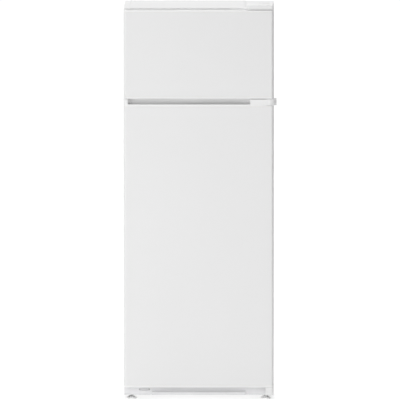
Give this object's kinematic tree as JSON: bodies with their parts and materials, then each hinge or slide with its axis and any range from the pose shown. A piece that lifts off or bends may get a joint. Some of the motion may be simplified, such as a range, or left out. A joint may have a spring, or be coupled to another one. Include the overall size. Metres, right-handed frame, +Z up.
{
  "type": "top freezer refrigerator",
  "caption": "Free-standing white refrigerator with a top freezer, right-hinged doors, a recessed grip, glass shelves, door bins and a rear wire condenser.",
  "frame": {"origin": "on the floor under the middle of the cabinet", "axes": "+Z up, the doors face -Y, +X towards the hinge side"},
  "size_m": [0.562, 0.595, 1.456],
  "materials": {
    "painted_steel": "semi-gloss white, fine texture",
    "white_plastic": "satin white",
    "grey_plastic": "satin light grey",
    "dark_plastic": "matte black",
    "liner_plastic": "semi-gloss white",
    "clear_plastic": "clear",
    "shelf_glass": "clear float glass",
    "galvanised_steel": "spangled zinc",
    "zinc_plated_steel": "bright zinc plate",
    "bare_aluminium": "matte",
    "black_enamel": "satin black",
    "white_wire": "white powder coat",
    "copper": "drawn copper",
    "foam": "rigid foam",
    "seal_rubber": "soft light grey",
    "dark_rubber": "matte black",
    "lamp_glass": "frosted"
  },
  "bodies": {
    "cabinet": {"outer_wrap": "painted_steel", "top_panel": "painted_steel", "rear_panel": "galvanised_steel", "cabinet_foam": "foam", "freezer_liner": "liner_plastic", "fridge_liner": "liner_plastic", "mullion_rail": "painted_steel", "kick_panel": "grey_plastic", "base_tray": "galvanised_steel", "upper_hinge": "zinc_plated_steel", "upper_hinge_cover": "white_plastic", "middle_hinge": "zinc_plated_steel", "middle_hinge_cover": "white_plastic", "lower_hinge": "painted_steel", "hinge_screws": "zinc_plated_steel", "blanking_caps": "white_plastic", "compressor": "black_enamel", "compressor_grommets": "dark_rubber", "terminal_box": "dark_plastic", "evaporation_pan": "grey_plastic", "condenser": "black_enamel", "condenser_brackets": "dark_plastic", "refrigerant_tubes": "copper", "drain_tube": "white_plastic", "evaporator_plate": "bare_aluminium", "thermostat_housing": "white_plastic", "lamp_bulb": "lamp_glass", "lamp_cover": "clear_plastic", "shelf_glass_upper": "shelf_glass", "shelf_glass_lower": "shelf_glass", "crisper_cover": "shelf_glass", "shelf_trims": "white_plastic", "freezer_shelf": "white_wire", "ice_tray": "clear_plastic"},
    "freezer_door": {"freezer_door_skin": "painted_steel", "freezer_door_top_cap": "white_plastic", "freezer_door_bottom_cap": "white_plastic", "freezer_door_foam": "foam", "freezer_door_liner": "liner_plastic", "freezer_door_gasket": "seal_rubber", "freezer_bin_upper": "clear_plastic", "freezer_bin_lower": "clear_plastic"},
    "fridge_door": {"fridge_door_skin": "painted_steel", "fridge_door_top_cap": "white_plastic", "fridge_door_bottom_cap": "white_plastic", "fridge_door_foam": "foam", "fridge_door_liner": "liner_plastic", "fridge_door_gasket": "seal_rubber", "dairy_bin": "clear_plastic", "middle_bin": "clear_plastic", "bottle_bin": "clear_plastic"},
    "dairy_lid": {"dairy_lid": "clear_plastic"},
    "bottle_divider": {"bottle_divider": "clear_plastic"},
    "crisper_drawer": {"crisper_drawer": "clear_plastic"},
    "door_switch": {"door_switch": "white_plastic"},
    "thermostat_knob": {"thermostat_knob": "grey_plastic"},
    "front_foot_left": {"front_foot_left": "white_plastic"},
    "front_foot_right": {"front_foot_right": "white_plastic"},
    "rear_roller_left": {"rear_roller_left": "dark_plastic"},
    "rear_roller_right": {"rear_roller_right": "dark_plastic"}
  },
  "joints": [
    {"name": "freezer_door_hinge", "type": "hinge", "parent": "cabinet", "child": "freezer_door", "pos_m": [0.259, -0.277, 1.2725], "axis": [0, 0, 1], "range_deg": [0, 130]},
    {"name": "fridge_door_hinge", "type": "hinge", "parent": "cabinet", "child": "fridge_door", "pos_m": [0.259, -0.277, 0.5775], "axis": [0, 0, 1], "range_deg": [0, 130]},
    {"name": "crisper_slide", "type": "slide", "parent": "cabinet", "child": "crisper_drawer", "axis": [0, -1, 0], "range_m": [0, 0.2]},
    {"name": "door_switch_press", "type": "slide", "parent": "cabinet", "child": "door_switch", "axis": [0, -1, 0], "range_m": [0, 0.006]},
    {"name": "thermostat_turn", "type": "hinge", "parent": "cabinet", "child": "thermostat_knob", "pos_m": [-0.034, -0.2145, 1.043], "axis": [0, 1, 0], "range_deg": [0, 270]},
    {"name": "dairy_lid_lift", "type": "hinge", "parent": "fridge_door", "child": "dairy_lid", "pos_m": [-0.0055, -0.2355, 0.93], "axis": [1, 0, 0], "range_deg": [0, 75]},
    {"name": "bottle_divider_slide", "type": "slide", "parent": "fridge_door", "child": "bottle_divider", "axis": [1, 0, 0], "range_m": [-0.1, 0.1]},
    {"name": "front_foot_left_turn", "type": "hinge", "parent": "cabinet", "child": "front_foot_left", "pos_m": [-0.246, -0.2165, 0.02], "axis": [0, 0, 1], "continuous": true},
    {"name": "front_foot_right_turn", "type": "hinge", "parent": "cabinet", "child": "front_foot_right", "pos_m": [0.246, -0.2165, 0.02], "axis": [0, 0, 1], "continuous": true},
    {"name": "rear_roller_left_spin", "type": "hinge", "parent": "cabinet", "child": "rear_roller_left", "pos_m": [-0.225, 0.2235, 0.015], "axis": [1, 0, 0], "continuous": true},
    {"name": "rear_roller_right_spin", "type": "hinge", "parent": "cabinet", "child": "rear_roller_right", "pos_m": [0.225, 0.2235, 0.015], "axis": [1, 0, 0], "continuous": true}
  ],
  "couplings": [
    {"joint": "crisper_slide", "follows": "fridge_door_hinge", "m_per_rad": 0.088},
    {"joint": "door_switch_press", "follows": "fridge_door_hinge", "m_per_rad": 0.0026}
  ]
}
